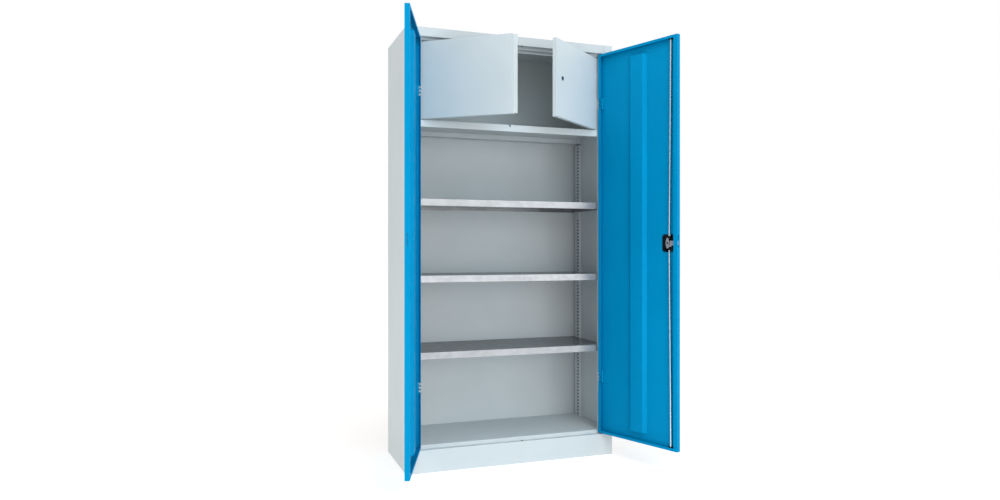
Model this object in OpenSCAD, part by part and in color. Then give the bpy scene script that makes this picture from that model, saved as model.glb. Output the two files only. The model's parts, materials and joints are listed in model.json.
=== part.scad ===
// Steel storage cabinet with two outer doors, a lockable upper compartment and three shelves.
// Millimetres. X runs to the right, Y to the back and Z up.
// The origin is the middle of the front face at floor level. The doors stand open.

/* [Cabinet] */
// Width over the sides
cabinet_w = 1000; // [860:10:1200]
// Depth from the front face to the back
cabinet_d = 400; // [360:10:600]
// Height
cabinet_h = 1950; // [1900:10:2100]
// Thickness of the sheet steel
sheet = 1; // [0.8:0.1:1.2]
// Width of the front face of each side post
post_w = 35; // [30:1:45]
// Depth of the recess that the outer doors lie in
rebate_d = 25; // [24.5:0.5:35]
// Width of the stop flange beside the doors
stop_w = 27; // [26:1:32]
// Depth of the hem on the stop flange
hem_d = 10; // [6:1:14]
// Width of the flange that the back panel is welded to
rear_flange_w = 20; // [12:1:30]
// Height of the header above the doors
header_h = 39; // [30:1:60]
// Drop of the header's door stop
header_stop_h = 12; // [11:1:20]
// Depth of the header's rebate for the inner doors
header_step_d = 20; // [20:1:30]
// Drop of the inner doors' stop
inner_stop_h = 11; // [10:1:16]

/* [Base] */
// Height of the plinth
plinth_h = 100; // [60:5:150]
// Depth of the plinth's bottom return
plinth_return = 20; // [10:1:40]
// Rise from the plinth to the floor of the cabinet
floor_rise = 16; // [10:1:30]

/* [Outer doors] */
// Depth of each door
door_t = 20; // [19:0.5:20]
// Gap between a door and its post
door_side_gap = 1.75; // [1.6:0.05:2.5]
// Gap above and below a door
door_end_gap = 5.5; // [5:0.5:8]
// Gap between the two doors
centre_gap = 4.5; // [3:0.5:6]
// Width of the lip along the top and bottom of a door
lip_end = 12; // [8:1:16]
// Width of the lip along the hinge edge
lip_hinge = 15; // [13:1:15]
// Width of the lip along the free edge
lip_free = 20; // [12:1:22]
// How far the left door stands open
left_open_angle = 109; // [60:0.5:110]
// How far the right door stands open
right_open_angle = 109.5; // [60:0.5:110]

/* [Door stiffeners] */
// Width of the stiffener's crown
crown_w = 70; // [40:1:100]
// Depth of the stiffener
stiffener_d = 15; // [8:0.5:15.5]
// Width of each welded foot
stiffener_foot = 12; // [8:1:20]
// Distance from the stiffener to the ends of the door
stiffener_end = 45; // [30:1:100]

/* [Hinges] */
// Distance of the hinge pin from the door's edge
pin_inset = 12.25; // [12.25:0.05:12.5]
// Depth of the hinge pin behind the door's face
pin_depth = 5; // [4.9:0.05:5.1]
// Diameter of the hinge pin
pin_d = 4; // [3:0.1:4.4]
// Radius of the knuckles
knuckle_r = 3.6; // [3.4:0.05:3.8]
// Height of a finger of the frame's hinge
finger_h = 8; // [6:0.5:9]
// Distance between fingers
finger_pitch = 16; // [15:0.5:20]
// Thickness of a finger
finger_t = 2.5; // [2:0.1:2.6]
// Sideways reach of a finger before it turns to the frame
finger_reach = 7.5; // [7.2:0.1:7.8]
// Height of the lower hinges
lower_hinge_z = 373; // [250:1:500]
// Height of the upper hinges
upper_hinge_z = 1672; // [1600:1:1760]

/* [Shelves] */
// Distance between the slots of an upright
slot_pitch = 17; // [15:1:25]
// Width of a slot
slot_w = 18; // [10:1:24]
// Height of a slot
slot_h = 7; // [5:0.5:8]
// Height of the first slot above the floor of the cabinet
first_slot = 10.5; // [8:0.5:20]
// Number of the slot that carries each shelf
shelf_slots = [21, 41, 61];
// Height of a shelf
shelf_h = 30; // [25:1:40]
// Depth of the return under a shelf's front edge
shelf_return = 12; // [6:1:20]
// Clearance round a shelf
shelf_gap = 3; // [2:0.5:4]
// How far the uprights stand off the side walls
upright_h = 15; // [12:1:20]
// Width of an upright's slotted face
upright_w = 50; // [40:1:60]
// Width of an upright's front foot
upright_foot = 28; // [24:1:30]
// Distance from the front face to the front uprights
front_upright_y = 45; // [40:1:60]
// Distance from the back panel to the rear uprights
rear_upright_gap = 6; // [4:1:20]

/* [Compartment] */
// Height of the compartment's floor
partition_z = 1549; // [1500:1:1560]
// Height of the partition's front edge
partition_h = 30; // [25:1:45]
// Depth of the return under the partition's front edge
partition_return = 15; // [8:1:20]
// Depth of the rear rail under the partition
rail_d = 63; // [40:1:80]
// Height of the rear rail
rail_h = 21; // [15:1:26]
// Depth of an inner door
inner_t = 18; // [17:0.5:18]
// Width of the lips of an inner door
inner_lip = 10; // [8:1:16]
// Gap under an inner door
inner_gap = 3; // [2:0.5:4]
// Gap between the two inner doors
inner_centre_gap = 5; // [4:0.5:8]
// Distance from the stop flange to the inner doors' hinge pins
inner_pin_x = 9; // [9:0.5:12]
// Distance from an inner door's edge and face to its hinge pin
inner_pin_inset = 6; // [6:0.5:6.5]
// Diameter of the inner doors' hinge pins
inner_pin_d = 5; // [4:0.5:6]
// Width of the strip on the left inner door that laps behind the right one
lap_w = 15; // [12:1:20]
// Distance from the partition to the lower end of the lap strip
lap_rise = 7; // [4:1:20]
// How far the left inner door stands open
left_inner_angle = 38; // [0:1:60]
// How far the right inner door stands open
right_inner_angle = 39; // [0:1:60]

/* [Door lock] */
// Distance from the door's free edge to the spindle
spindle_inset = 56; // [52:1:70]
// Diameter of the spindle
spindle_d = 10; // [8:0.5:11]
// Number of teeth on the pinion, a multiple of four
pinion_teeth = 12; // [12:4:16]
// Module of the teeth
tooth_module = 1.5; // [1.4:0.05:1.6]
// Pressure angle of the teeth
pressure_angle = 25; // [25:1:28]
// Play between the teeth at the pitch line
backlash = 0.3; // [0.25:0.05:0.4]
// Thickness of the racks
rack_t = 4; // [3:0.5:4]
// Width of the racks behind their teeth
rack_w = 5; // [4:0.5:6]
// Diameter of the locking rods
rod_d = 8; // [6:0.5:9]
// Depth of the rods behind the door's face
rod_y = 10; // [9:0.5:11]
// Distance from the free edge to the rods at the lock
rod_lock_inset = 50; // [46:1:50]
// Distance from the free edge to the rods at the door's ends
rod_end_inset = 40; // [30:1:48]
// How far the rods stand out of the door when they are drawn in
rod_tip = 4; // [1:0.5:4]
// Height of the side bolt's tongue
bolt_h = 20; // [14:1:24]
// Reach of the bolt's slot below the spindle
bolt_slot_low = 18; // [13:1:26]
// Reach of the bolt's slot above the spindle
bolt_slot_high = 34; // [13:1:36]
// Width of the lock case
case_w = 72; // [70:1:80]
// Height of the lock case
case_h = 76; // [70:1:90]
// Width of the lock's cover plate
cover_w = 18; // [14:1:20]
// Height of the lock's cover plate
cover_h = 45; // [44:1:50]

/* [Handle] */
// Length of the handle from its spindle
handle_l = 115; // [80:1:140]
// Width of the handle's grip
handle_w = 18; // [14:1:24]
// Radius of the handle's hub
hub_r = 15; // [13:0.5:20]
// Depth of the handle
handle_t = 15; // [13:0.5:20]
// Diameter of the key cylinder
key_d = 14; // [10:0.5:18]

/* [Inner lock] */
// Distance from the inner door's free edge to its lock
inner_lock_inset = 60; // [55:1:70]
// Height of the inner lock above the middle of its door
inner_lock_rise = 4; // [-20:1:20]
// Diameter of the inner lock's body
inner_lock_d = 16; // [12:0.5:20]
// Distance from the right inner door's free edge to the stud under it
stud_inset = 42; // [30:1:60]
// Length of the cam
cam_l = 56; // [52:1:60]
// Distance from the left inner door's free edge to its bolt
inner_bolt_inset = 8.8; // [8:0.1:12]
// Diameter of the inner bolt
inner_bolt_d = 6; // [4:0.5:7]
// Travel of the inner bolt
inner_bolt_travel = 10; // [6:0.5:12]

/* [Clearances] */
// Running clearance on the radius of pins and spindles
run_gap = 0.05; // [0.03:0.01:0.1]
// Gap between faces that slide past each other
slide_gap = 0.25; // [0.2:0.05:0.4]
// Gap round a part that passes through a slot
slot_gap = 0.5; // [0.3:0.1:0.8]

/* [Hidden] */
$fn = 48;
light_grey = [0.84, 0.86, 0.85];
door_blue = [0.02, 0.52, 0.74];
galvanised = [0.68, 0.70, 0.71];
zinc = [0.75, 0.77, 0.78];
black_plastic = [0.07, 0.07, 0.08];
cut = 1;

half_w = cabinet_w / 2;
post_x = half_w - post_w;
stop_x = post_x - stop_w;
wall_x = half_w - sheet;
wall_h = cabinet_h - sheet;
hem_y = rebate_d + hem_d;
back_y = cabinet_d - 2 * sheet;
header_z = cabinet_h - header_h;
header_stop_z = header_z - header_stop_h;
header_step_y = rebate_d + header_step_d;
floor_z = plinth_h + floor_rise;

door_x0 = centre_gap / 2;
door_x1 = post_x - door_side_gap;
door_z0 = plinth_h + door_end_gap;
door_z1 = header_z - door_end_gap;
door_mid_z = (door_z0 + door_z1) / 2;
pin_x = door_x1 - pin_inset;
hinge_zs = [lower_hinge_z, upper_hinge_z];
finger_bend = 4.5;
finger_slot_gap = 0.75;
finger_x = pin_x - finger_reach;
door_slot_y = 6.4;
leaf_t = 1.5;
leaf_w = 18;
leaf_h = 2 * finger_pitch + 3 * finger_h;
leaf_start = 4.4;
knuckle_web = 5;
knuckle_web_gap = 0.8;
frame_leaf_t = 2;
frame_leaf_h = 2 * finger_pitch + 4 * finger_h;
frame_leaf_inset = 8;
pin_end = 1;

upright_gap = 2;
upright_top = partition_z - partition_h - upright_gap;
slot_count = floor((upright_top - floor_z - first_slot - slot_h) / slot_pitch) + 1;
clip_t = 1.8;
shelf_x = wall_x - upright_h - clip_t - slide_gap;
shelf_front_y = rebate_d + 2 * sheet;
clip_seat = 8.5;
clip_w = 14;
clip_reach = 14;
slot_edge = 3;
foot_slot_edge = 4;
foot_slot_w = 14;

inner_x0 = inner_centre_gap / 2;
inner_pivot_x = stop_x - inner_pin_x;
inner_x1 = inner_pivot_x + inner_pin_inset;
inner_pivot_y = rebate_d + inner_pin_inset;
inner_z0 = partition_z + inner_gap;
inner_z1 = header_stop_z - inner_stop_h + inner_gap;
inner_back_y = rebate_d + inner_t;
pin_block = 11;
pin_block_h = 8;
pin_collar = 2;

lock_x = door_x0 + spindle_inset;
pitch_r = tooth_module * pinion_teeth / 2;
tooth_pitch = PI * tooth_module;
addendum = 0.9 * tooth_module;
dedendum = 1.25 * tooth_module;
rack_back = pitch_r + dedendum + rack_w;
case_t = 3;
case_y = sheet + case_t;
rod_rack_y = case_y + slot_gap;
bolt_y = rod_rack_y + rack_t + slot_gap;
cover_y = bolt_y + rack_t + slot_gap;
cover_t = 1.5;
post_r = 2.2;
post_z = cover_h / 2 - 4;
rod_x = rod_lock_inset - spindle_inset;
rod_tilt = atan((rod_lock_inset - rod_end_inset) / (door_z1 - door_mid_z));
rod_start = 30;
rod_hole_d = rod_d + 2 * slot_gap;
keeper_x = door_x0 + rod_end_inset;
keeper_d = 12;
keeper_flange_d = 18;
keeper_t = 1.5;
keeper_play = 0.8;
guide_w = 20;
guide_h = 14;
guide_gap = 2;
escutcheon_t = 3;
escutcheon_margin = 3;
escutcheon_end = 22;
handle_y = -escutcheon_t - slot_gap;
handle_front = handle_y - handle_t;
handle_mid = handle_y - handle_t / 2;
grip_gap = 5;
key_out = 1;
key_slot_w = 7;
key_slot_t = 1.2;
key_slot_d = 3;

lap_y = inner_back_y + slot_gap;
lap_z0 = partition_z + lap_rise;
inner_lock_x = inner_x0 + inner_lock_inset;
inner_lock_z = (inner_z0 + inner_z1) / 2 + inner_lock_rise;
inner_lock_wall = 3;
inner_plug_r = inner_lock_d / 2 - inner_lock_wall;
inner_lock_rim = 1.5;
inner_nut_t = 3;
cam_t = 2;
cam_w = 14;
cam_y = lap_y + sheet + slot_gap;
inner_bolt_x = inner_x0 + inner_bolt_inset;
inner_bolt_y = rebate_d + 9;
inner_bolt_l = 60;
knob_z = 36;
knob_r = 2;
knob_l = 18;
eye_h = 6;
eye_wall = 3;
eye_low = 12;
eye_high = 42;
bracket_t = 1.5;
bracket_w = 6;
stud_d = 6;
stud_h = 2.5;

// A folded sheet's section follows a path on its face, with its thickness to the left
function unit(v) = v / norm(v);
function left_of(v) = [-v[1], v[0]];
function side_of(path, i) = left_of(unit(path[i + 1] - path[i]));
function skin_point(path, t, i) =
  let (a = side_of(path, max(i - 1, 0)), b = side_of(path, min(i, len(path) - 2)))
  path[i] + t * (a + b) / (1 + a * b);
function skin(path, t) = [for (i = [0:len(path) - 1]) skin_point(path, t, i)];
function backwards(list) = [for (i = [len(list) - 1:-1:0]) list[i]];

module folded(path, t = sheet) {
  polygon(concat(path, backwards(skin(path, t))));
}

module bar(path, t) {
  polygon(concat(skin(path, -t / 2), backwards(skin(path, t / 2))));
}

// Extrudes a section drawn in Y and Z along X
module along_x(x0, x1) {
  translate([x0, 0, 0]) rotate([90, 0, 90]) linear_extrude(x1 - x0) children();
}

// Extrudes an outline drawn in X and Z along Y
module along_y(y0, y1) {
  translate([0, y1, 0]) rotate([90, 0, 0]) linear_extrude(y1 - y0) children();
}

module box(low, high) {
  translate(low) cube(high - low);
}

module rod_along_y(r, y0, y1) {
  along_y(y0, y1) circle(r);
}

module both_sides() {
  children();
  mirror([1, 0, 0]) children();
}

// The pieces of a door are drawn closed, on the right-hand side, and opened here
module open_door(angle, x, y) {
  translate([x, y, 0]) rotate([0, 0, angle]) translate([-x, -y, 0]) children();
}

module on_right_door() {
  open_door(right_open_angle, pin_x, pin_depth) children();
}

module on_left_door() {
  mirror([1, 0, 0]) open_door(left_open_angle, pin_x, pin_depth) children();
}

module on_right_inner_door() {
  open_door(right_inner_angle, inner_pivot_x, inner_pivot_y) children();
}

module on_left_inner_door() {
  mirror([1, 0, 0]) open_door(left_inner_angle, inner_pivot_x, inner_pivot_y) children();
}

module at_lock() {
  on_right_door() translate([lock_x, 0, door_mid_z]) children();
}

module at_fingers() {
  for (z = hinge_zs, k = [-1:1]) translate([0, 0, z + k * finger_pitch]) children();
}

// Body

module side_panel() {
  path = [
    [half_w - rear_flange_w, cabinet_d], [half_w, cabinet_d], [half_w, 0], [post_x, 0],
    [post_x, rebate_d], [stop_x, rebate_d], [stop_x, hem_y]
  ];
  slot_r = finger_t / 2 + slot_gap;
  slot_z = finger_h / 2 + slot_gap;
  difference() {
    linear_extrude(wall_h) folded(path, -sheet);
    at_fingers()
      box([finger_x - slot_r, rebate_d - cut, -slot_z], [finger_x + slot_r, rebate_d + sheet + cut, slot_z]);
  }
}

module left_side_panel() {
  color(light_grey) mirror([1, 0, 0]) side_panel();
}

module right_side_panel() {
  color(light_grey) side_panel();
}

module back_panel() {
  color(light_grey) box([-wall_x, back_y, 0], [wall_x, back_y + sheet, wall_h]);
}

module top_panel() {
  front = [[0, wall_h], [0, header_z], [rebate_d, header_z]];
  stops = [
    [rebate_d, header_stop_z], [header_step_y, header_stop_z],
    [header_step_y, header_stop_z - inner_stop_h]
  ];
  color(light_grey) difference() {
    union() {
      box([-half_w, 0, wall_h], [half_w, cabinet_d, cabinet_h]);
      both_sides() along_x(stop_x, post_x) folded(front);
      along_x(-stop_x, stop_x) folded(concat(front, stops));
    }
    translate([keeper_x, rod_y, header_z - cut]) cylinder(d = keeper_d, h = sheet + 2 * cut);
    both_sides() translate([inner_pivot_x, inner_pivot_y, header_stop_z - cut])
      cylinder(r = inner_pin_d / 2 + run_gap, h = sheet + 2 * cut);
  }
}

module plinth_panel() {
  path = [[rebate_d, plinth_h], [0, plinth_h], [0, 0], [plinth_return, 0]];
  color(light_grey) difference() {
    along_x(-post_x, post_x) folded(path);
    translate([keeper_x, rod_y, plinth_h - sheet - cut]) cylinder(d = keeper_d, h = sheet + 2 * cut);
  }
}

// A flat tray with its front corners notched round the stop flanges
function tray_outline(front_x, side_x, front_y, notch_y, rear_y, inset) =
  let (f = front_x - inset, s = side_x - inset)
  let (y0 = front_y + inset, y1 = notch_y + inset, y2 = rear_y - inset)
  [[-f, y0], [f, y0], [f, y1], [s, y1], [s, y2], [-s, y2], [-s, y1], [-f, y1]];

module tray(front_x, side_x, front_y, notch_y, rear_y, top, lip) {
  translate([0, 0, top - sheet]) linear_extrude(sheet)
    polygon(tray_outline(front_x, side_x, front_y, notch_y, rear_y, 0));
  translate([0, 0, top - lip]) linear_extrude(lip) difference() {
    polygon(tray_outline(front_x, side_x, front_y, notch_y, rear_y, 0));
    polygon(tray_outline(front_x, side_x, front_y, notch_y, rear_y, sheet));
  }
}

module floor_panel() {
  color(light_grey) tray(stop_x, wall_x, rebate_d, hem_y, back_y, floor_z, floor_rise + sheet);
}

module compartment_partition() {
  bottom = partition_z - partition_h;
  notch_r = inner_bolt_d / 2 + slot_gap;
  notch_h = 10;
  color(light_grey) difference() {
    union() {
      tray(stop_x, wall_x, rebate_d, hem_y, back_y, partition_z, partition_h);
      box([-stop_x, rebate_d, bottom], [stop_x, rebate_d + partition_return, bottom + sheet]);
    }
    both_sides() translate([inner_pivot_x, inner_pivot_y, partition_z - sheet - cut])
      cylinder(r = inner_pin_d / 2 + run_gap, h = sheet + 2 * cut);
    box([-inner_bolt_x - notch_r, rebate_d - cut, partition_z - notch_h],
      [-inner_bolt_x + notch_r, inner_bolt_y + notch_r, partition_z + cut]);
  }
}

module partition_rear_rail() {
  z1 = partition_z - sheet;
  y1 = back_y - sheet;
  path = [[y1 - rail_d, z1], [y1 - rail_d, z1 - rail_h], [y1, z1 - rail_h]];
  color(light_grey) along_x(sheet - wall_x, wall_x - sheet) folded(path);
}

// Uprights and shelves

module upright(y) {
  x0 = wall_x - sheet;
  x1 = wall_x - upright_h;
  y1 = y + upright_foot;
  y2 = y1 + upright_w;
  path = [[x0, y], [x0, y1], [x1, y1], [x1, y2], [x0, y2], [x0, y2 + upright_h]];
  difference() {
    translate([0, 0, floor_z]) linear_extrude(upright_top - floor_z) folded(path, -sheet);
    for (k = [0:slot_count - 1]) translate([x1, y1 + slot_edge, slot_z(k)])
      box([-cut, 0, -slot_h / 2], [sheet + cut, slot_w, slot_h / 2]);
    for (k = [1:slot_count - 1]) translate([x0, y1 - foot_slot_edge, slot_z(k) - slot_pitch / 2])
      box([-cut, -foot_slot_w, -slot_h / 2], [sheet + cut, 0, slot_h / 2]);
  }
}

rear_upright_y = back_y - rear_upright_gap - upright_h - upright_w - upright_foot;

module left_front_upright() {
  color(light_grey) mirror([1, 0, 0]) upright(front_upright_y);
}

module left_rear_upright() {
  color(light_grey) mirror([1, 0, 0]) upright(rear_upright_y);
}

module right_front_upright() {
  color(light_grey) upright(front_upright_y);
}

module right_rear_upright() {
  color(light_grey) upright(rear_upright_y);
}

function slot_z(n) = floor_z + first_slot + n * slot_pitch;
function shelf_z(n) = slot_z(n) + clip_seat + shelf_h;

module shelf(n) {
  top = shelf_z(n);
  front_x = stop_x - shelf_gap;
  bottom = top - shelf_h;
  color(galvanised) {
    tray(front_x, shelf_x, shelf_front_y, hem_y + shelf_gap, back_y - shelf_gap, top, shelf_h);
    box([-front_x, shelf_front_y, bottom], [front_x, shelf_front_y + shelf_return, bottom + sheet]);
  }
}

module lower_shelf() {
  shelf(shelf_slots[0]);
}

module middle_shelf() {
  shelf(shelf_slots[1]);
}

module upper_shelf() {
  shelf(shelf_slots[2]);
}

// A clip hooks into two slots of an upright and carries a corner of a shelf on its tab
module shelf_clip() {
  x1 = wall_x - upright_h;
  hook_t = sheet + slide_gap;
  box([x1 - clip_t, 0, -slot_pitch - slot_h], [x1, clip_w, clip_seat]);
  box([x1 - clip_reach, 0, clip_seat - clip_t], [x1, clip_w, clip_seat]);
  for (z = [0, -slot_pitch]) {
    box([x1 - clip_t, 0, z - clip_t / 2], [x1 + hook_t + clip_t, clip_w, z + clip_t / 2]);
    box([x1 + hook_t, 0, z - slot_h], [x1 + hook_t + clip_t, clip_w, z + clip_t / 2]);
  }
}

module shelf_clips() {
  first_y = upright_foot + slot_edge + (slot_w - clip_w) / 2;
  color(zinc) for (n = shelf_slots, y = [front_upright_y, rear_upright_y])
    both_sides() translate([0, y + first_y, slot_z(n)]) shelf_clip();
}

// Hinges

module frame_hinges() {
  arm = [
    [pin_x, pin_depth], [finger_x, pin_depth + finger_bend], [finger_x, rebate_d + sheet + frame_leaf_t]
  ];
  difference() {
    union() {
      for (z = hinge_zs)
        box([stop_x + sheet + slide_gap, rebate_d + sheet, z - frame_leaf_h / 2],
          [post_x - sheet - frame_leaf_inset, rebate_d + sheet + frame_leaf_t, z + frame_leaf_h / 2]);
      at_fingers() translate([0, 0, -finger_h / 2]) linear_extrude(finger_h) {
        bar(arm, finger_t);
        translate([pin_x, pin_depth]) circle(knuckle_r);
      }
    }
    at_fingers() translate([pin_x, pin_depth, -finger_h]) cylinder(r = pin_d / 2 + run_gap, h = 2 * finger_h);
  }
}

module left_frame_hinges() {
  color(zinc) mirror([1, 0, 0]) frame_hinges();
}

module right_frame_hinges() {
  color(zinc) frame_hinges();
}

// The leaf lies against the door's face, with a knuckle above and below each finger
module door_hinge_leaves() {
  knuckle_h = finger_pitch - finger_h - 2 * slide_gap;
  for (z = hinge_zs) translate([pin_x, 0, z]) {
    box([-leaf_w - leaf_start, sheet, -leaf_h / 2], [-leaf_start, sheet + leaf_t, leaf_h / 2]);
    for (k = [-1.5:1:1.5]) translate([0, 0, k * finger_pitch - knuckle_h / 2])
      linear_extrude(knuckle_h) difference() {
        union() {
          translate([0, pin_depth]) circle(knuckle_r);
          translate([-knuckle_web, sheet]) square([knuckle_web, pin_depth - sheet - knuckle_web_gap]);
        }
        translate([0, pin_depth]) circle(d = pin_d);
      }
  }
}

module left_door_hinge_leaves() {
  color(zinc) on_left_door() door_hinge_leaves();
}

module right_door_hinge_leaves() {
  color(zinc) on_right_door() door_hinge_leaves();
}

module hinge_pins() {
  for (z = hinge_zs) translate([pin_x, pin_depth, z - leaf_h / 2 - pin_end])
    cylinder(d = pin_d, h = leaf_h + 2 * pin_end);
}

module left_hinge_pins() {
  color(zinc) on_left_door() hinge_pins();
}

module right_hinge_pins() {
  color(zinc) on_right_door() hinge_pins();
}

// Outer doors

// A pan of folded sheet with lips round its open side
module pan(low, high, lips) {
  inner_low = low + [sheet, sheet, sheet];
  inner_high = high - [sheet, sheet, sheet];
  difference() {
    box(low, high);
    box(inner_low, inner_high);
    box([low[0] + lips[0], inner_low[1], low[2] + lips[2]],
      [high[0] - lips[1], high[1] + cut, high[2] - lips[2]]);
  }
}

module door_panel() {
  slot_half = finger_h / 2 + finger_slot_gap;
  difference() {
    pan([door_x0, 0, door_z0], [door_x1, door_t, door_z1], [lip_free, lip_hinge, lip_end]);
    at_fingers()
      box([door_x1 - lip_hinge - cut, door_slot_y, -slot_half], [door_x1 + cut, door_t + cut, slot_half]);
  }
}

// The side bolt passes through a slot in the free edge of both doors
module bolt_slot() {
  box([door_x0 - cut, bolt_y - slot_gap, door_mid_z - bolt_slot_low],
    [door_x0 + sheet + cut, bolt_y + rack_t + slot_gap, door_mid_z + bolt_slot_high]);
}

module left_door_panel() {
  color(door_blue) on_left_door() difference() {
    door_panel();
    bolt_slot();
  }
}

module right_door_panel() {
  color(door_blue) on_right_door() difference() {
    door_panel();
    bolt_slot();
    translate([lock_x, 0, door_mid_z]) rod_along_y(spindle_d / 2 + slot_gap, -cut, sheet + cut);
    for (z = [door_z0, door_z1]) translate([keeper_x, rod_y, z - 2 * sheet])
      cylinder(d = rod_hole_d, h = 4 * sheet);
  }
}

module stiffener() {
  mid_x = (door_x0 + door_x1) / 2;
  foot_x = crown_w / 2 + stiffener_d;
  path = [
    [mid_x + foot_x + stiffener_foot, sheet * 2], [mid_x + foot_x, sheet * 2],
    [mid_x + crown_w / 2, sheet + stiffener_d], [mid_x - crown_w / 2, sheet + stiffener_d],
    [mid_x - foot_x, sheet * 2], [mid_x - foot_x - stiffener_foot, sheet * 2]
  ];
  translate([0, 0, door_z0 + stiffener_end]) linear_extrude(door_z1 - door_z0 - 2 * stiffener_end)
    folded(path, sheet);
}

module left_door_stiffener() {
  color(door_blue) on_left_door() stiffener();
}

module right_door_stiffener() {
  color(door_blue) on_right_door() stiffener();
}

// Door lock

// Involute teeth, with angles in degrees
function involute(a) = tan(a) * 180 / PI - a;
base_r = pitch_r * cos(pressure_angle);
tip_r = pitch_r + addendum;
root_r = pitch_r - dedendum;
play_angle = backlash / 4 / pitch_r * 180 / PI;
function half_tooth(r) =
  90 / pinion_teeth - play_angle + involute(pressure_angle) - involute(acos(min(base_r / r, 1)));
flank_radii = [root_r, base_r, for (k = [1:4]) base_r + k * (tip_r - base_r) / 4];

module pinion_outline() {
  polygon([
    for (i = [0:pinion_teeth - 1], edge = [-1, 1])
      for (r = edge < 0 ? flank_radii : backwards(flank_radii))
        let (a = i * 360 / pinion_teeth + edge * half_tooth(r)) r * [cos(a), sin(a)]
  ]);
}

// Rack teeth run along X from a gap at zero, and face down
rack_low = -1.5;
rack_high = 4.5;
rack_end = 0.5;
function rack_half(y) = tooth_pitch / 4 - backlash / 4 + y * tan(pressure_angle);
function rack_teeth(first, last) = [
  for (k = [first:last]) let (x = k * tooth_pitch)
    each [
      [x - rack_half(dedendum), dedendum], [x - rack_half(-addendum), -addendum],
      [x + rack_half(-addendum), -addendum], [x + rack_half(dedendum), dedendum]
    ]
];

module rack_outline(x0) {
  x1 = rack_high * tooth_pitch + rack_half(dedendum) + rack_end;
  y1 = dedendum + rack_w;
  polygon(concat([[x0, y1], [x0, dedendum]], rack_teeth(rack_low, rack_high), [[x1, dedendum], [x1, y1]]));
}

// The top rod's rack is on the free side of the pinion and the bottom rod's on the hinge side
module rod_rack(side) {
  shift = pitch_r * sin(rod_tilt);
  low_x = min(-side * rack_back, rod_x - rod_d / 2);
  high_x = max(-side * rack_back, rod_x + rod_d / 2);
  along_y(rod_rack_y, rod_rack_y + rack_t) {
    translate([-side * pitch_r, shift]) rotate(side * 90) mirror([1, 0])
      rack_outline(side * shift - rod_start - rod_d);
    translate([low_x, side > 0 ? rod_start : -rod_start - rod_d]) square([high_x - low_x, rod_d]);
  }
}

module round_rod(length) {
  translate([rod_x, rod_y, rod_start]) cylinder(d = rod_d, h = length - rod_start);
}

rod_reach = (door_z1 - door_mid_z + rod_tip) / cos(rod_tilt);

module top_rod() {
  color(zinc) at_lock() rotate([0, -rod_tilt, 0]) {
    rod_rack(1);
    round_rod(rod_reach);
  }
}

module bottom_rod() {
  color(zinc) at_lock() rotate([0, rod_tilt, 0]) {
    rod_rack(-1);
    mirror([0, 0, 1]) round_rod(rod_reach);
  }
}

module side_bolt() {
  tongue_x = -tip_r - slot_gap;
  stem_w = 8;
  stem_joint = 2;
  stem_x = tongue_x - stem_w;
  stem_z = -rack_back - slot_gap;
  color(zinc) at_lock() along_y(bolt_y, bolt_y + rack_t) {
    translate([0, -pitch_r]) mirror([0, 1]) rack_outline(stem_x + stem_joint);
    translate([stem_x, stem_z]) square([tongue_x - stem_x, -stem_z]);
    translate([slot_gap - spindle_inset, -bolt_h / 2]) square([tongue_x + spindle_inset - slot_gap, bolt_h]);
  }
}

module lock_pinion() {
  color(zinc) at_lock() {
    along_y(rod_rack_y, bolt_y + rack_t) pinion_outline();
    rod_along_y(spindle_d / 2, handle_mid, bolt_y + rack_t);
  }
}

module lock_case() {
  corner = 8;
  low_corner = 3;
  x = case_w / 2;
  z = case_h / 2;
  rib_x = rack_back + slot_gap;
  rib_z = 22;
  rib_t = 3;
  color(black_plastic) at_lock() difference() {
    union() {
      along_y(sheet, case_y) polygon([
        [-x + low_corner, -z], [x - corner, -z], [x, -z + corner], [x, z - corner], [x - corner, z],
        [-x + low_corner, z], [-x, z - low_corner], [-x, -z + low_corner]
      ]);
      both_sides() box([rib_x, case_y, -rib_z], [rib_x + rib_t, rod_rack_y + rack_t, rib_z]);
    }
    rod_along_y(spindle_d / 2 + run_gap, 0, case_y + cut);
  }
}

module lock_cover() {
  w = cover_w / 2;
  h = cover_h / 2;
  shoulder = 6;
  end = 4;
  hole_r = 4.5;
  color(zinc) at_lock() {
    along_y(cover_y, cover_y + cover_t) difference() {
      polygon([
        [-w, -shoulder], [-end, -h], [end, -h], [w, -shoulder],
        [w, shoulder], [end, h], [-end, h], [-w, shoulder]
      ]);
      circle(hole_r);
    }
    for (z = [-post_z, post_z]) translate([0, 0, z]) rod_along_y(post_r, case_y, cover_y);
  }
}

// Each guide holds the end of a rod just inside the door's flange
module rod_guides() {
  x = rod_end_inset - spindle_inset;
  z1 = door_mid_z - door_z0 - sheet;
  color(black_plastic) at_lock() for (up = [0, 1]) mirror([0, 0, up]) difference() {
    box([x - guide_w / 2, sheet, z1 - guide_h], [x + guide_w / 2, door_t - sheet - guide_gap, z1]);
    rotate([0, -rod_tilt, 0]) translate([rod_x, rod_y, z1 - 2 * guide_h])
      cylinder(r = rod_d / 2 + run_gap, h = 3 * guide_h);
  }
}

module rod_keepers() {
  bore = rod_d / 2 + keeper_play;
  color(black_plastic) for (z = [header_z, plinth_h - sheet]) {
    flange_z = z == header_z ? z + sheet : z - keeper_t;
    translate([keeper_x, rod_y, 0]) difference() {
      union() {
        translate([0, 0, z]) cylinder(d = keeper_d, h = sheet);
        translate([0, 0, flange_z]) cylinder(d = keeper_flange_d, h = keeper_t);
      }
      translate([0, 0, z - 2 * keeper_t]) cylinder(r = bore, h = 4 * keeper_t + sheet);
    }
  }
}

// Handle

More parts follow.
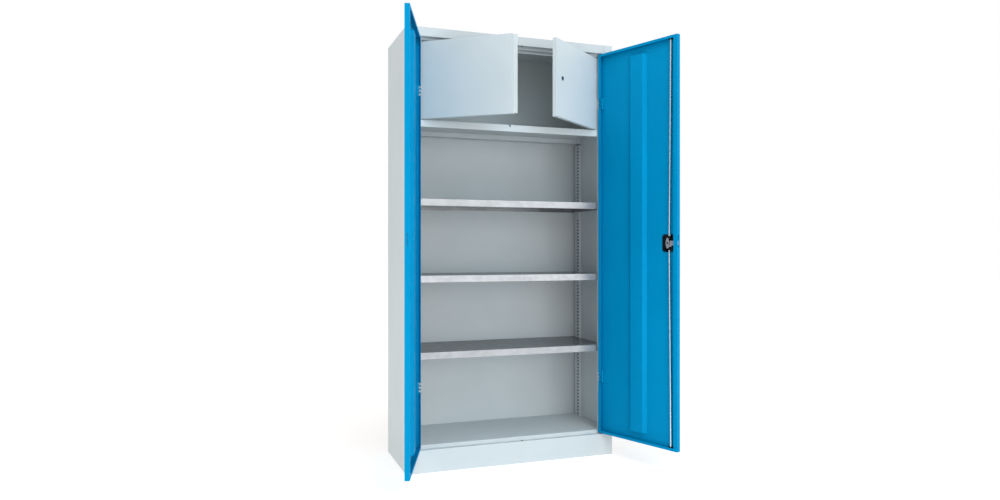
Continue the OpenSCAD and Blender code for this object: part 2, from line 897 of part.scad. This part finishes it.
module handle_escutcheon() {
  w = hub_r + escutcheon_margin;
  color(black_plastic) at_lock() along_y(-escutcheon_t, 0) difference() {
    union() {
      for (z = [-escutcheon_end, escutcheon_end]) translate([0, z]) circle(w);
      translate([-w, -escutcheon_end]) square([2 * w, 2 * escutcheon_end]);
    }
    circle(spindle_d / 2 + run_gap);
  }
}

module door_handle() {
  grip = handle_w / 2;
  color(black_plastic) at_lock() difference() {
    union() {
      rod_along_y(hub_r, handle_front, handle_y);
      along_y(handle_front, handle_y - grip_gap) {
        translate([0, -grip]) square([handle_l - grip, handle_w]);
        translate([handle_l - grip, 0]) circle(grip);
      }
    }
    rod_along_y(spindle_d / 2, handle_mid, handle_y + cut);
    rod_along_y(key_d / 2 + run_gap, handle_front - cut, handle_mid);
  }
}

module key_cylinder() {
  color(zinc) at_lock() difference() {
    rod_along_y(key_d / 2, handle_front - key_out, handle_mid - slide_gap);
    box([-key_slot_w / 2, handle_front - key_out - cut, -key_slot_t / 2],
      [key_slot_w / 2, handle_front + key_slot_d, key_slot_t / 2]);
  }
}

// Compartment doors

module inner_door() {
  difference() {
    pan([inner_x0, rebate_d, inner_z0], [inner_x1, inner_back_y, inner_z1],
      [inner_lip, inner_lip, inner_lip]);
    translate([inner_pivot_x, inner_pivot_y, inner_z0 - cut])
      cylinder(d = inner_pin_d, h = inner_z1 - inner_z0 + 2 * cut);
  }
}

// A strip welded to the left inner door's free lip reaches behind the right inner door
module lap_strip() {
  y0 = inner_back_y - sheet / 2;
  y1 = lap_y + sheet;
  translate([0, 0, lap_z0]) linear_extrude(inner_z1 - lap_z0) polygon([
    [inner_x0 - lap_w, lap_y], [inner_x0, lap_y], [inner_x0, y0],
    [inner_x0 + inner_lip, y0], [inner_x0 + inner_lip, y1], [inner_x0 - lap_w, y1]
  ]);
}

// A pivot block in each corner carries a pin that turns in the partition or the header
module inner_pins() {
  turned = inner_pin_d / 2;
  for (up = [0, 1]) translate([inner_pivot_x, inner_pivot_y, up ? inner_z1 : inner_z0]) mirror([0, 0, up]) {
    gap = up ? header_stop_z - inner_z1 : inner_gap;
    translate([0, 0, -gap - 2 * sheet]) cylinder(r = turned, h = gap + 3 * sheet + pin_block_h);
    translate([0, 0, slide_gap - gap]) cylinder(r = turned + pin_collar, h = gap - slide_gap);
    translate([0, 0, sheet])
      box([-pin_block / 2, sheet - inner_pin_inset, 0],
        [inner_pin_inset - sheet, pin_block / 2, pin_block_h]);
  }
}

module left_inner_door() {
  color(light_grey) on_left_inner_door() {
    difference() {
      inner_door();
      translate([inner_bolt_x, inner_bolt_y, inner_z0 - cut])
        cylinder(r = inner_bolt_d / 2 + slot_gap, h = sheet + 2 * cut);
    }
    lap_strip();
  }
}

module right_inner_door() {
  color(light_grey) on_right_inner_door() difference() {
    inner_door();
    translate([inner_lock_x, 0, inner_lock_z])
      rod_along_y(inner_lock_d / 2, rebate_d - cut, rebate_d + sheet + cut);
  }
}

// A short stud stands under the right inner door, below its lock
module right_inner_stud() {
  color(zinc) on_right_inner_door() translate([inner_x0 + stud_inset, inner_bolt_y, inner_z0 - stud_h])
    cylinder(d = stud_d, h = stud_h);
}

module left_inner_pins() {
  color(zinc) on_left_inner_door() inner_pins();
}

module right_inner_pins() {
  color(zinc) on_right_inner_door() inner_pins();
}

module inner_bolt_guide() {
  r = inner_bolt_d / 2;
  eye_w = r + eye_wall;
  y0 = rebate_d + sheet;
  color(zinc) on_left_inner_door() translate([inner_bolt_x, 0, inner_z0]) {
    for (z = [eye_low, eye_high]) difference() {
      box([-eye_w, y0, z], [eye_w, inner_bolt_y + eye_w, z + eye_h]);
      translate([0, inner_bolt_y, z - cut]) cylinder(r = r + run_gap, h = eye_h + 2 * cut);
    }
    box([eye_w - eye_wall / 2, y0, eye_low], [eye_w + bracket_w, y0 + bracket_t, eye_high + eye_h]);
  }
}

module inner_bolt() {
  color(zinc) on_left_inner_door() translate([inner_bolt_x, inner_bolt_y, inner_z0]) {
    cylinder(d = inner_bolt_d, h = inner_bolt_l);
    translate([0, 0, knob_z]) rotate([0, 90, 0]) cylinder(r = knob_r, h = knob_l);
  }
}

module inner_lock_body() {
  r = inner_lock_d / 2;
  color(zinc) on_right_inner_door() translate([inner_lock_x, 0, inner_lock_z]) difference() {
    union() {
      rod_along_y(r, rebate_d, cam_y - slot_gap);
      rod_along_y(r + inner_lock_rim, rebate_d - inner_lock_rim, rebate_d);
      rod_along_y(r + inner_lock_wall, rebate_d + sheet, rebate_d + sheet + inner_nut_t);
    }
    rod_along_y(inner_plug_r + run_gap, rebate_d - inner_lock_rim - cut, cam_y + cut);
  }
}

module inner_lock_plug() {
  y0 = rebate_d - inner_lock_rim;
  color(zinc) on_right_inner_door() translate([inner_lock_x, 0, inner_lock_z]) difference() {
    rod_along_y(inner_plug_r, y0, cam_y + cam_t);
    box([-key_slot_t / 2, y0 - cut, -key_slot_w / 2], [key_slot_t / 2, y0 + key_slot_d, key_slot_w / 2]);
  }
}

module inner_lock_cam() {
  color(zinc) on_right_inner_door() translate([inner_lock_x, 0, inner_lock_z])
    along_y(cam_y, cam_y + cam_t) difference() {
      union() {
        circle(d = inner_lock_d);
        translate([-cam_w / 2, -cam_l]) square([cam_w, cam_l]);
      }
      circle(inner_plug_r);
    }
}

left_side_panel();
right_side_panel();
back_panel();
top_panel();
plinth_panel();
floor_panel();
compartment_partition();
partition_rear_rail();
left_front_upright();
left_rear_upright();
right_front_upright();
right_rear_upright();
upper_shelf();
middle_shelf();
lower_shelf();
shelf_clips();
left_frame_hinges();
right_frame_hinges();
rod_keepers();
left_door_panel();
left_door_stiffener();
left_door_hinge_leaves();
left_hinge_pins();
right_door_panel();
right_door_stiffener();
right_door_hinge_leaves();
right_hinge_pins();
lock_case();
lock_cover();
lock_pinion();
top_rod();
bottom_rod();
side_bolt();
rod_guides();
handle_escutcheon();
door_handle();
key_cylinder();
left_inner_door();
left_inner_pins();
inner_bolt_guide();
inner_bolt();
right_inner_door();
right_inner_pins();
right_inner_stud();
inner_lock_body();
inner_lock_plug();
inner_lock_cam();
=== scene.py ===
"""Blue and grey double door cabinet, standing open, as in the reference photograph.

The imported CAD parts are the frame. This script adds finishes, small fasteners, light,
floor and camera. Lengths are in metres unless a name says otherwise. X runs to the
right, Y to the back and Z up, and the floor is at Z = 0.
"""

import json
import math

import bmesh
import bpy
from mathutils import Matrix, Vector


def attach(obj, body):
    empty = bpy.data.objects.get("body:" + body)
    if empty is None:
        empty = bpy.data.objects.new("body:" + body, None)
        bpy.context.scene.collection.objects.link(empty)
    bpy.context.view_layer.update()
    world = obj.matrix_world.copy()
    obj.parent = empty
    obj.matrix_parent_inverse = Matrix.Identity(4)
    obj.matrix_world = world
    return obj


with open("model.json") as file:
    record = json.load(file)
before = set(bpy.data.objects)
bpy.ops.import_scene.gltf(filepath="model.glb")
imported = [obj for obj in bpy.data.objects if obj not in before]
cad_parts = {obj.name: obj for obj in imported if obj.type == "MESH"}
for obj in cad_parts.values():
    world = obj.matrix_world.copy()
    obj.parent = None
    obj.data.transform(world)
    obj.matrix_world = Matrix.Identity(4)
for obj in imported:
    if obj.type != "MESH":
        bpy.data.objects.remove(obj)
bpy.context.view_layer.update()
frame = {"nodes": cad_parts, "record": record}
scene = bpy.context.scene

# Camera, solved from the corners of the cabinet's body in the photograph

CAMERA_AT = (-1.21907, -3.18903, 0.97548)
CAMERA_YAW = 19.83
FOCAL_PX = 748.72
PICTURE_W = 1000
PICTURE_H = 500
SENSOR_MM = 36.0

camera_data = bpy.data.cameras.new("camera")
camera_data.sensor_width = SENSOR_MM
camera_data.lens = FOCAL_PX * SENSOR_MM / PICTURE_W
camera_data.clip_start = 0.05
camera_data.clip_end = 60.0
camera = bpy.data.objects.new("camera", camera_data)
scene.collection.objects.link(camera)
camera.location = CAMERA_AT
camera.rotation_euler = (math.radians(90.0), 0.0, math.radians(-CAMERA_YAW))
scene.camera = camera
scene.render.resolution_x = PICTURE_W
scene.render.resolution_y = PICTURE_H
scene.view_settings.view_transform = "Standard"


# Patterns of the finishes, by their real sizes in millimetres. A pixel of the main view is
# about 4.5 mm wide here, so peel and plating grain show only from close by, as on the real
# cabinet.

CLOUDING_MM = 250.0  # slow change of a coat's thickness over a panel
SHEEN_MM = 45.0  # width of the passes of a spray gun, over which the sheen changes
ORANGE_PEEL_MM = 1.1  # waves in baked powder, and the grain of a moulding tool
SPANGLE_MM = 18.0  # crystals of hot-dip zinc
# Crystals of electroplate are near 0.02 mm, too fine for any view, so they are drawn this coarse
PLATING_GRAIN_MM = 0.7

PEEL_RELIEF = 0.00002
MOULD_RELIEF = 0.00004
RELIEF_STRENGTH = 0.6
BEND_RADIUS = 0.0006  # of folded sheet, rounded in the shading alone
NOISE_SPAN = (0.3, 0.7)  # where nearly all values of the noise texture lie
CLOUD_DETAIL = 3.0
SHEEN_DETAIL = 4.0
GRAIN_DETAIL = 1.0
BEND_SAMPLES = 4

# The sockets of a colour mix, which has several of one name
MIX_FACTOR, MIX_FIRST, MIX_SECOND, MIX_RESULT = 0, 6, 7, 2


def colour(code):
    """A hex sRGB colour as linear red, green, blue and alpha."""
    parts = [int(code[i:i + 2], 16) / 255 for i in (0, 2, 4)]
    return [p / 12.92 if p <= 0.04045 else ((p + 0.055) / 1.055) ** 2.4 for p in parts] + [1.0]


def add(tree, kind, sockets=None, **settings):
    """Adds a shader node with its settings.

    Each socket takes a fixed value or another node's output.
    """
    made = tree.nodes.new(kind)
    for name, value in settings.items():
        setattr(made, name, value)
    for name, value in (sockets or {}).items():
        if isinstance(value, bpy.types.NodeSocket):
            tree.links.new(value, made.inputs[name])
        else:
            made.inputs[name].default_value = value
    return made


def new_material(name):
    """An empty material and its node tree."""
    made = bpy.data.materials.new(name)
    made.use_nodes = True
    made.node_tree.nodes.clear()
    return made, made.node_tree


def pattern(tree, where, size_mm, detail, low, high):
    """An uneven pattern that runs from low to high, with lumps of a real size."""
    lumps = add(tree, "ShaderNodeTexNoise", {
        "Vector": where,
        "Scale": 1000 / size_mm,
        "Detail": detail,
    })
    spread = add(tree, "ShaderNodeMapRange", {
        "Value": lumps.outputs["Fac"],
        "From Min": NOISE_SPAN[0],
        "From Max": NOISE_SPAN[1],
        "To Min": low,
        "To Max": high,
    })
    return spread.outputs["Result"]


def inside(tree, where, low, high):
    """1 within a box and 0 outside it, on the left and the right of the cabinet alike."""
    spot = add(tree, "ShaderNodeSeparateXYZ", {0: where}).outputs
    x = add(tree, "ShaderNodeMath", {0: spot[0]}, operation="ABSOLUTE").outputs[0]
    found = 1.0
    for source, a, b in zip((x, spot[1], spot[2]), low, high):
        within = add(tree, "ShaderNodeMath", {
            0: source,
            1: (a + b) / 2,
            2: (b - a) / 2,
        }, operation="COMPARE")
        both = add(tree, "ShaderNodeMath", {0: found, 1: within.outputs[0]}, operation="MULTIPLY")
        found = both.outputs[0]
    return found


def surface(name, base, shade, rough, metallic=0.0, ior=1.5, specular=0.5, grazing=1.0,
            grain_mm=ORANGE_PEEL_MM, relief=PEEL_RELIEF, spangle=0.0, other="", boxes=()):
    """A painted, plated or moulded finish, clouded from its base colour to its shade.

    It has fine grain and rounded edges. Its roughness runs between the two values of rough.
    Within the boxes, each given by its low and its high corner, it has the other colour.
    """
    made, tree = new_material(name)
    where = add(tree, "ShaderNodeTexCoord").outputs["Object"]
    tint = add(tree, "ShaderNodeMix", {
        MIX_FACTOR: pattern(tree, where, CLOUDING_MM, CLOUD_DETAIL, 0.0, 1.0),
        MIX_FIRST: colour(base),
        MIX_SECOND: colour(shade),
    }, data_type="RGBA").outputs[MIX_RESULT]
    if spangle:
        crystals = add(tree, "ShaderNodeTexVoronoi", {
            "Vector": where,
            "Scale": 1000 / SPANGLE_MM,
        }).outputs["Color"]
        bright = add(tree, "ShaderNodeSeparateColor", {"Color": crystals}).outputs[0]
        share = add(tree, "ShaderNodeMath", {0: bright, 1: spangle}, operation="MULTIPLY")
        tint = add(tree, "ShaderNodeMix", {
            MIX_FACTOR: share.outputs[0],
            MIX_FIRST: tint,
            MIX_SECOND: colour("ffffff"),
        }, data_type="RGBA").outputs[MIX_RESULT]
    for low, high in boxes:
        tint = add(tree, "ShaderNodeMix", {
            MIX_FACTOR: inside(tree, where, low, high),
            MIX_FIRST: tint,
            MIX_SECOND: colour(other),
        }, data_type="RGBA").outputs[MIX_RESULT]
    rounded = add(tree, "ShaderNodeBevel", {"Radius": BEND_RADIUS}, samples=BEND_SAMPLES)
    grain = add(tree, "ShaderNodeTexNoise", {
        "Vector": where,
        "Scale": 1000 / grain_mm,
        "Detail": GRAIN_DETAIL,
    })
    bump = add(tree, "ShaderNodeBump", {
        "Height": grain.outputs["Fac"],
        "Normal": rounded.outputs["Normal"],
        "Strength": RELIEF_STRENGTH,
        "Distance": relief,
    })
    shader = add(tree, "ShaderNodeBsdfPrincipled", {
        "Base Color": tint,
        "Metallic": metallic,
        "Roughness": pattern(tree, where, SHEEN_MM, SHEEN_DETAIL, rough[0], rough[1]),
        "IOR": ior,
        "Normal": bump.outputs["Normal"],
        "Specular IOR Level": specular,
        "Specular Tint": (grazing, grazing, grazing, 1.0),
    })
    add(tree, "ShaderNodeOutputMaterial", {"Surface": shader.outputs["BSDF"]})
    return made


# Polyester powder, sprayed on and baked, on the body and the inner doors: an even light grey
# with a soft sheen and a faint peel. In the boxes, the hollows behind the slotted front and
# rear uprights, the grey is painted dark: painted shade of these deep, barely lit hollows.
PAINTED_SHADE_HOLLOWS = [((0.4851, y, 0.1165), (0.4995, y + 0.049, 1.517)) for y in (0.0735, 0.3275)]
grey_coat = surface(
    "sprayed_grey_polyester_powder", "cbd1d2", "c6cdce", rough=(0.4, 0.48),
    specular=0.3, other="43484b", boxes=PAINTED_SHADE_HOLLOWS)

# The same powder on the roof and the header, copied a touch darker as painted shade on these faces
roof_coat_painted_shade = surface(
    "sprayed_grey_polyester_powder_roof_painted_shade", "c0c6c8", "bbc2c4", rough=(0.4, 0.48), specular=0.3)

# Polyester powder of the outer doors: a strong light blue that hardly mirrors, so that it
# stays even
blue_coat = surface(
    "sprayed_blue_polyester_powder", "008cbe", "0087b8", rough=(0.42, 0.5), specular=0.03)

# Hot-dip galvanised steel sheet of the shelves: a pale front, tops that mirror the dark bay,
# and faint spangle
galvanised = surface(
    "hot_dip_galvanised_steel", "999b9d", "8e9092", rough=(0.2, 0.27), metallic=0.65,
    specular=0.3, grazing=0.45, spangle=0.07)

# Electroplated zinc of the clips, the inner doors' pins and the drop bolt: a bright, slightly
# bluish metal with a soft gleam
zinc = surface(
    "electroplated_zinc_steel", "c9d0d6", "bcc4ca", rough=(0.24, 0.34), metallic=1.0,
    grain_mm=PLATING_GRAIN_MM)

# The rods have the same plate. Their racks, and the cranks that carry these, are oil-blackened
# steel: nearly black and dull. The first box holds the racks, the other two the lower and the
# upper crank beside the rods.
RACKS = [
    ((0.5, -0.5, 0.974), (0.7, -0.3, 1.0362)),
    ((0.5, -0.3686, 0.96), (0.7, -0.3, 0.974)),
    ((0.5, -0.5, 1.0362), (0.7, -0.3772, 1.05)),
]
rod_zinc = surface(
    "electroplated_zinc_rods_with_blackened_racks", "bcd0da", "b2c6d0", rough=(0.24, 0.34),
    metallic=1.0, grain_mm=PLATING_GRAIN_MM, other="0b0b0c", boxes=RACKS)

# Passivated zinc plate of the lock's cover: a satin grey that mirrors little
satin_zinc = surface(
    "passivated_zinc_plate", "a5a4a8", "9c9ba0", rough=(0.38, 0.46), metallic=0.45,
    grain_mm=PLATING_GRAIN_MM)

# The same on the side bolt, duller and warmer from rubbing, with its rack oil-blackened
BOLT_RACK = [((0.5, -0.3725, 0.974), (0.7, -0.3, 1.04))]
bolt_zinc = surface(
    "passivated_zinc_bolt_with_blackened_rack", "a0959c", "978c94", rough=(0.38, 0.46),
    metallic=0.3, grain_mm=PLATING_GRAIN_MM, other="0b0b0c", boxes=BOLT_RACK)

# Turned nylon of the buffer under the right inner door: a plain, matt white
nylon = surface("turned_white_nylon", "f2f4f3", "eceeed", rough=(0.35, 0.42), ior=1.53)

# Moulded ABS of the lock case, the handle with its escutcheon, the rods' guides and keepers:
# black with the fine, dull grain of its mould
black_abs = surface(
    "moulded_black_abs", "0b0b0d", "101012", rough=(0.42, 0.5), ior=1.54, specular=0.2,
    relief=MOULD_RELIEF)

# Nickel-plated brass of the key cylinder: a warm, smooth, bright metal
nickel = surface(
    "nickel_plated_brass", "c4c6c2", "b8bab5", rough=(0.2, 0.28), metallic=1.0,
    grain_mm=PLATING_GRAIN_MM)

# Black chrome on the ring of the inner doors' lock: a dark, slightly green gleam
lock_ring = surface(
    "black_chrome_plated_zinc", "5f7a79", "587271", rough=(0.26, 0.34), metallic=1.0,
    grain_mm=PLATING_GRAIN_MM)

# Burnished steel of that lock's plug: a dark dot with hardly any gleam
plug_steel = surface(
    "burnished_steel", "262e31", "22292c", rough=(0.3, 0.38), metallic=0.3, specular=0.2,
    grain_mm=PLATING_GRAIN_MM)

SLOT_FINISH = {
    "grey_powder_coat": grey_coat,
    "blue_powder_coat": blue_coat,
    "galvanised_sheet": galvanised,
    "zinc_plated_steel": zinc,
    "black_plastic": black_abs,
}
# Pieces with a finish of their own. The outer doors' hinges are painted over with their doors.
PIECE_FINISH = {
    "key_cylinder": nickel,
    "inner_lock_body": lock_ring,
    "inner_lock_plug": plug_steel,
    "top_panel": roof_coat_painted_shade,
    "top_rod": rod_zinc,
    "bottom_rod": rod_zinc,
    "side_bolt": bolt_zinc,
    "lock_cover": satin_zinc,
    "right_inner_stud": nylon,
    "left_door_hinge_leaves": blue_coat,
    "right_door_hinge_leaves": blue_coat,
    "left_hinge_pins": blue_coat,
    "right_hinge_pins": blue_coat,
    "left_frame_hinges": blue_coat,
    "right_frame_hinges": blue_coat,
}
for part in frame["record"]["subparts"]:
    name = part["node"]
    shown = frame["nodes"][name]
    shown.data.materials.clear()
    shown.data.materials.append(PIECE_FINISH.get(name, SLOT_FINISH[part["material_slot"]]))


# Places on the open doors, given as on the closed right-hand door, whose inside faces the back

DOOR_PIN = Vector((0.451, 0.005, 0.0))
OPEN_ANGLES = {1: 109.5, -1: 109.0}


def on_door(side, x, y, z):
    """A place on the inside of an open door, as a matrix whose Z points out of the door.

    The side is 1 for the right door and -1 for the left one.
    """
    turn = Matrix.Rotation(math.radians(OPEN_ANGLES[side]), 4, "Z")
    opened = Matrix.Translation(DOOR_PIN) @ turn @ Matrix.Translation(-DOOR_PIN)
    if side < 0:
        opened = Matrix.Scale(-1, 4, (1, 0, 0)) @ opened
    inward = Vector((0, 1, 0)).to_track_quat("Z", "Y").to_matrix().to_4x4()
    return opened @ (Matrix.Translation((x, y, z)) @ inward)


def finish_piece(name, form, material, body):
    """Turns a finished form into a piece that rides on a body."""
    mesh = bpy.data.meshes.new(name)
    form.to_mesh(mesh)
    form.free()
    mesh.materials.append(material)
    piece = bpy.data.objects.new(name, mesh)
    scene.collection.objects.link(piece)
    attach(piece, body)


HEAD_RINGS = 9
HEAD_SIDES = 32
CROSS_HALF_WIDTH = 0.12  # these two are shares of the head's radius
CROSS_REACH = 0.58
SAME_POINT = 1e-6


def heads(name, places, material, body, radius, height, cross=0.0, flat=0.0):
    """Round heads of screws, rivets or welds in one piece.

    Each place is a matrix whose Z points out of the surface. The cross is cut to its depth, and
    flat is the share of the radius over which the head is level.
    """
    form = bmesh.new()
    for place in places:
        rows = []
        for i in range(HEAD_RINGS + 1):
            r = radius * i / HEAD_RINGS
            dome = max(0.0, (i / HEAD_RINGS - flat) / (1 - flat))
            row = []
            for k in range(HEAD_SIDES if i else 1):
                a = 2 * math.pi * k / HEAD_SIDES
                x = r * math.cos(a)
                y = r * math.sin(a)
                z = height * math.sqrt(max(0.0, 1 - dome * dome))
                if min(abs(x), abs(y)) < radius * CROSS_HALF_WIDTH and r < radius * CROSS_REACH:
                    z -= cross
                row.append(form.verts.new(place @ Vector((x, y, z))))
            rows.append(row)
        for i in range(HEAD_RINGS):
            for k in range(HEAD_SIDES):
                n = (k + 1) % HEAD_SIDES
                if i == 0:
                    form.faces.new((rows[0][0], rows[1][k], rows[1][n]))
                else:
                    form.faces.new((rows[i][k], rows[i + 1][k], rows[i + 1][n], rows[i][n]))
        form.faces.new([form.verts.new(v.co) for v in reversed(rows[HEAD_RINGS])])
    bmesh.ops.remove_doubles(form, verts=form.verts, dist=SAME_POINT)
    bmesh.ops.recalc_face_normals(form, faces=form.faces)
    for face in form.faces:
        # The backs, the only faces with many sides, stay flat
        face.smooth = len(face.verts) < HEAD_SIDES
    finish_piece(name, form, material, body)


# Screws that hold the lock case to the door
LOCK_X = 0.05825
LOCK_Z = 1.0055
CASE_FACE_Y = 0.004
case_places = [
    on_door(1, LOCK_X + x, CASE_FACE_Y, LOCK_Z + z)
    for x in (-0.029, 0.027) for z in (-0.031, 0.031)
]
heads("lock_case_screws", case_places, black_abs, "right_door",
      radius=0.0036, height=0.0018, cross=0.0009, flat=0.4)

# Square end of the spindle, seen in the middle of the lock's cover
COVER_FACE_Y = 0.0142
spindle = bmesh.new()
bmesh.ops.create_cone(
    spindle, cap_ends=True, segments=4, radius1=0.0042, radius2=0.0038, depth=0.003)
spindle.transform(on_door(1, LOCK_X, COVER_FACE_Y, LOCK_Z))
finish_piece("spindle_end", spindle, black_abs, "lock_handle")

# Spot welds along the feet of the stiffeners, and rivets of the hinge leaves
STIFFENER_X = 0.23275
FOOT_X = 0.0555
FOOT_FACE_Y = 0.002
WELD_COUNT = 11
FIRST_WELD_Z = 0.19
WELD_PITCH = 0.163
HINGE_Z = (0.373, 1.672)
LEAF_FACE_Y = 0.0025
RIVET_X = (-0.0185, -0.0105)
RIVET_PITCH = 0.024
for side, word in ((1, "right"), (-1, "left")):
    weld_places = [
        on_door(side, STIFFENER_X + x, FOOT_FACE_Y, FIRST_WELD_Z + WELD_PITCH * k)
        for x in (-FOOT_X, FOOT_X) for k in range(WELD_COUNT)
    ]
    heads(word + "_stiffener_welds", weld_places, blue_coat, word + "_door",
          radius=0.003, height=0.0002, flat=0.3)
    rivet_places = [
        on_door(side, DOOR_PIN.x + x, LEAF_FACE_Y, z + dz)
        for x in RIVET_X for z in HINGE_Z for dz in (-RIVET_PITCH, 0.0, RIVET_PITCH)
    ]
    heads(word + "_hinge_rivets", rivet_places, blue_coat, word + "_door",
          radius=0.002, height=0.0009)

# Screws of the rods' guides at the door's ends
ROD_X = 0.04225
GUIDE_FACE_Y = 0.017
GUIDE_RISE = 0.892  # above and below the lock
guide_places = [
    on_door(1, ROD_X + x, GUIDE_FACE_Y, LOCK_Z + up * GUIDE_RISE)
    for x in (-0.0075, 0.0075) for up in (-1, 1)
]
heads("rod_guide_screws", guide_places, zinc, "right_door",
      radius=0.002, height=0.001, cross=0.0005, flat=0.3)


# Floor, background and light

FLOOR_SIZE = 40.0
GLOW_REACH = (0.8, 2.6)  # from the cabinet's middle
SEEN_GLOW = (0.41, 0.6)  # least near the cabinet, where its shadow has to show
MIRRORED_GLOW = 0.8
FILL = 0.55

half = FLOOR_SIZE / 2
corners = [(-half, -half, 0), (half, -half, 0), (half, half, 0), (-half, half, 0)]
floor_mesh = bpy.data.meshes.new("floor")
floor_mesh.from_pydata(corners, [], [(0, 1, 2, 3)])
floor = bpy.data.objects.new("floor", floor_mesh)
scene.collection.objects.link(floor)

# White studio paper. It glows for the camera and in reflections, and less near the cabinet,
# so that the shadow stays. The glow adds no light to the cabinet otherwise.
paper, tree = new_material("matt_white_paper")
path = add(tree, "ShaderNodeLightPath").outputs
place = add(tree, "ShaderNodeTexCoord").outputs["Object"]
away = add(tree, "ShaderNodeVectorMath", {0: place}, operation="LENGTH")
lift = add(tree, "ShaderNodeMapRange", {
    "Value": away.outputs["Value"],
    "From Min": GLOW_REACH[0],
    "From Max": GLOW_REACH[1],
    "To Min": SEEN_GLOW[0],
    "To Max": SEEN_GLOW[1],
})
seen = add(tree, "ShaderNodeMath", {
    0: path["Is Camera Ray"],
    1: lift.outputs["Result"],
}, operation="MULTIPLY")
shine = add(tree, "ShaderNodeMath", {
    0: path["Is Glossy Ray"],
    1: MIRRORED_GLOW,
}, operation="MULTIPLY")
either = add(tree, "ShaderNodeMath", {0: seen.outputs[0], 1: shine.outputs[0]}, operation="ADD")
glow = add(tree, "ShaderNodeEmission", {
    "Color": colour("ffffff"),
    "Strength": either.outputs[0],
})
diffuse = add(tree, "ShaderNodeBsdfDiffuse", {"Color": colour("f2f2f2")})
both = add(tree, "ShaderNodeAddShader", {0: diffuse.outputs[0], 1: glow.outputs[0]})
add(tree, "ShaderNodeOutputMaterial", {"Surface": both.outputs[0]})
floor_mesh.materials.append(paper)

# The camera and reflections meet plain white. Everything else is lit by a softer, warmer white.
world = bpy.data.worlds.new("studio")
scene.world = world
world.use_nodes = True
tree = world.node_tree
tree.nodes.clear()
path = add(tree, "ShaderNodeLightPath").outputs
white = add(tree, "ShaderNodeBackground", {"Color": colour("ffffff"), "Strength": 1.0})
fill = add(tree, "ShaderNodeBackground", {"Color": colour("fff7f1"), "Strength": FILL})
clear = add(tree, "ShaderNodeMath", {
    0: path["Is Camera Ray"],
    1: path["Is Transmission Ray"],
}, operation="MAXIMUM")
plain = add(tree, "ShaderNodeMath", {
    0: clear.outputs[0],
    1: path["Is Glossy Ray"],
}, operation="MAXIMUM")
around = add(tree, "ShaderNodeMixShader", {
    0: plain.outputs[0],
    1: fill.outputs[0],
    2: white.outputs[0],
})
add(tree, "ShaderNodeOutputWorld", {"Surface": around.outputs[0]})


def softbox(name, at, target, size, watts, tint="ffffff", mirrored=False):
    """A rectangular lamp that the camera doesn't see, and reflections only where it is mirrored."""
    data = bpy.data.lights.new(name, "AREA")
    data.shape = "RECTANGLE"
    data.size = size[0]
    data.size_y = size[1]
    data.energy = watts
    data.color = colour(tint)[:3]
    light = bpy.data.objects.new(name, data)
    light.location = at
    light.rotation_euler = (Vector(target) - Vector(at)).to_track_quat("-Z", "Y").to_euler()
    light.visible_camera = False
    light.visible_glossy = mirrored
    scene.collection.objects.link(light)


softbox("front_softbox", at=(1.2, -5.2, 1.3), target=(0.5, 0, 1.0), size=(4.0, 2.4), watts=53.0,
        tint="fdfdff", mirrored=True)
softbox("high_front_softbox", at=(-0.6, -4.8, 3.2), target=(0, 0, 1.0), size=(3.0, 2.4),
        watts=38.0, tint="e6f6ff")
softbox("right_softbox", at=(2.2, -5.0, 1.0), target=(0, 0, 1.0), size=(2.0, 1.8), watts=26.0,
        tint="dcf2ff")
softbox("left_softbox", at=(-4.6, -1.2, 1.3), target=(0, 0, 0.8), size=(2.2, 2.4), watts=60.0,
        tint="e2f6ff")
softbox("top_softbox", at=(0, -1.6, 4.2), target=(0, 0, 1.0), size=(3.0, 3.0), watts=40.0)
softbox("near_top_softbox", at=(0.3, -3.0, 3.4), target=(0, 0, 0.6), size=(1.6, 1.6), watts=29.0,
        tint="cbedff")
softbox("low_softbox", at=(0.1, -1.4, 0.5), target=(0, 0, 0.3), size=(1.4, 0.6), watts=4.4)
